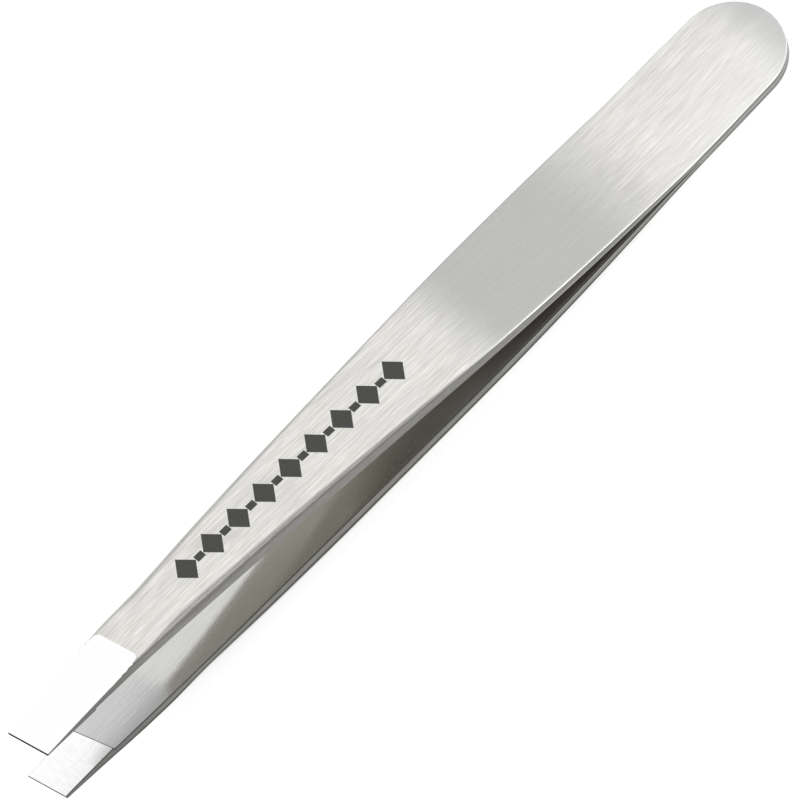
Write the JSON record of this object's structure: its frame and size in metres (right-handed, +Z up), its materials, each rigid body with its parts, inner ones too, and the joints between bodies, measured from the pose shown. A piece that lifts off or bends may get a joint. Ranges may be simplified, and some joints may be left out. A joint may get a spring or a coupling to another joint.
{
  "type": "slant tweezers",
  "caption": "Hand tweezers with two flat spring-steel arms joined at a rounded head, tapering to slanted ground tips with inner gripping pads.",
  "frame": {"origin": "middle of the bounding box's underside, with the tweezers lying on the back of the lower arm", "axes": "+X towards the tips, +Z up through the lower arm and then the upper arm, +Y across the arms"},
  "size_m": [0.0952, 0.0106, 0.0112],
  "materials": {
    "brushed_steel": "stainless steel brushed lengthwise, with the tips' faces ground bright",
    "weld_steel": "weld metal ground flush with the head's edge"
  },
  "bodies": {
    "head": {"upper_arm_head": "brushed_steel", "lower_arm_head": "brushed_steel", "head_seam_weld": "weld_steel", "head_spot_welds": "weld_steel"},
    "upper_blade": {"upper_arm_blade": "brushed_steel"},
    "lower_blade": {"lower_arm_blade": "brushed_steel"}
  },
  "joints": [
    {"name": "upper_flex", "type": "hinge", "parent": "head", "child": "upper_blade", "pos_m": [-0.02263, 0, 0.0031], "axis": [0, 1, 0], "range_deg": [0, 3.23], "stiffness_Nm_per_rad": 2},
    {"name": "lower_flex", "type": "hinge", "parent": "head", "child": "lower_blade", "pos_m": [-0.02252, 0, 0.0013], "axis": [0, -1, 0], "range_deg": [0, 3.23], "stiffness_Nm_per_rad": 2}
  ]
}
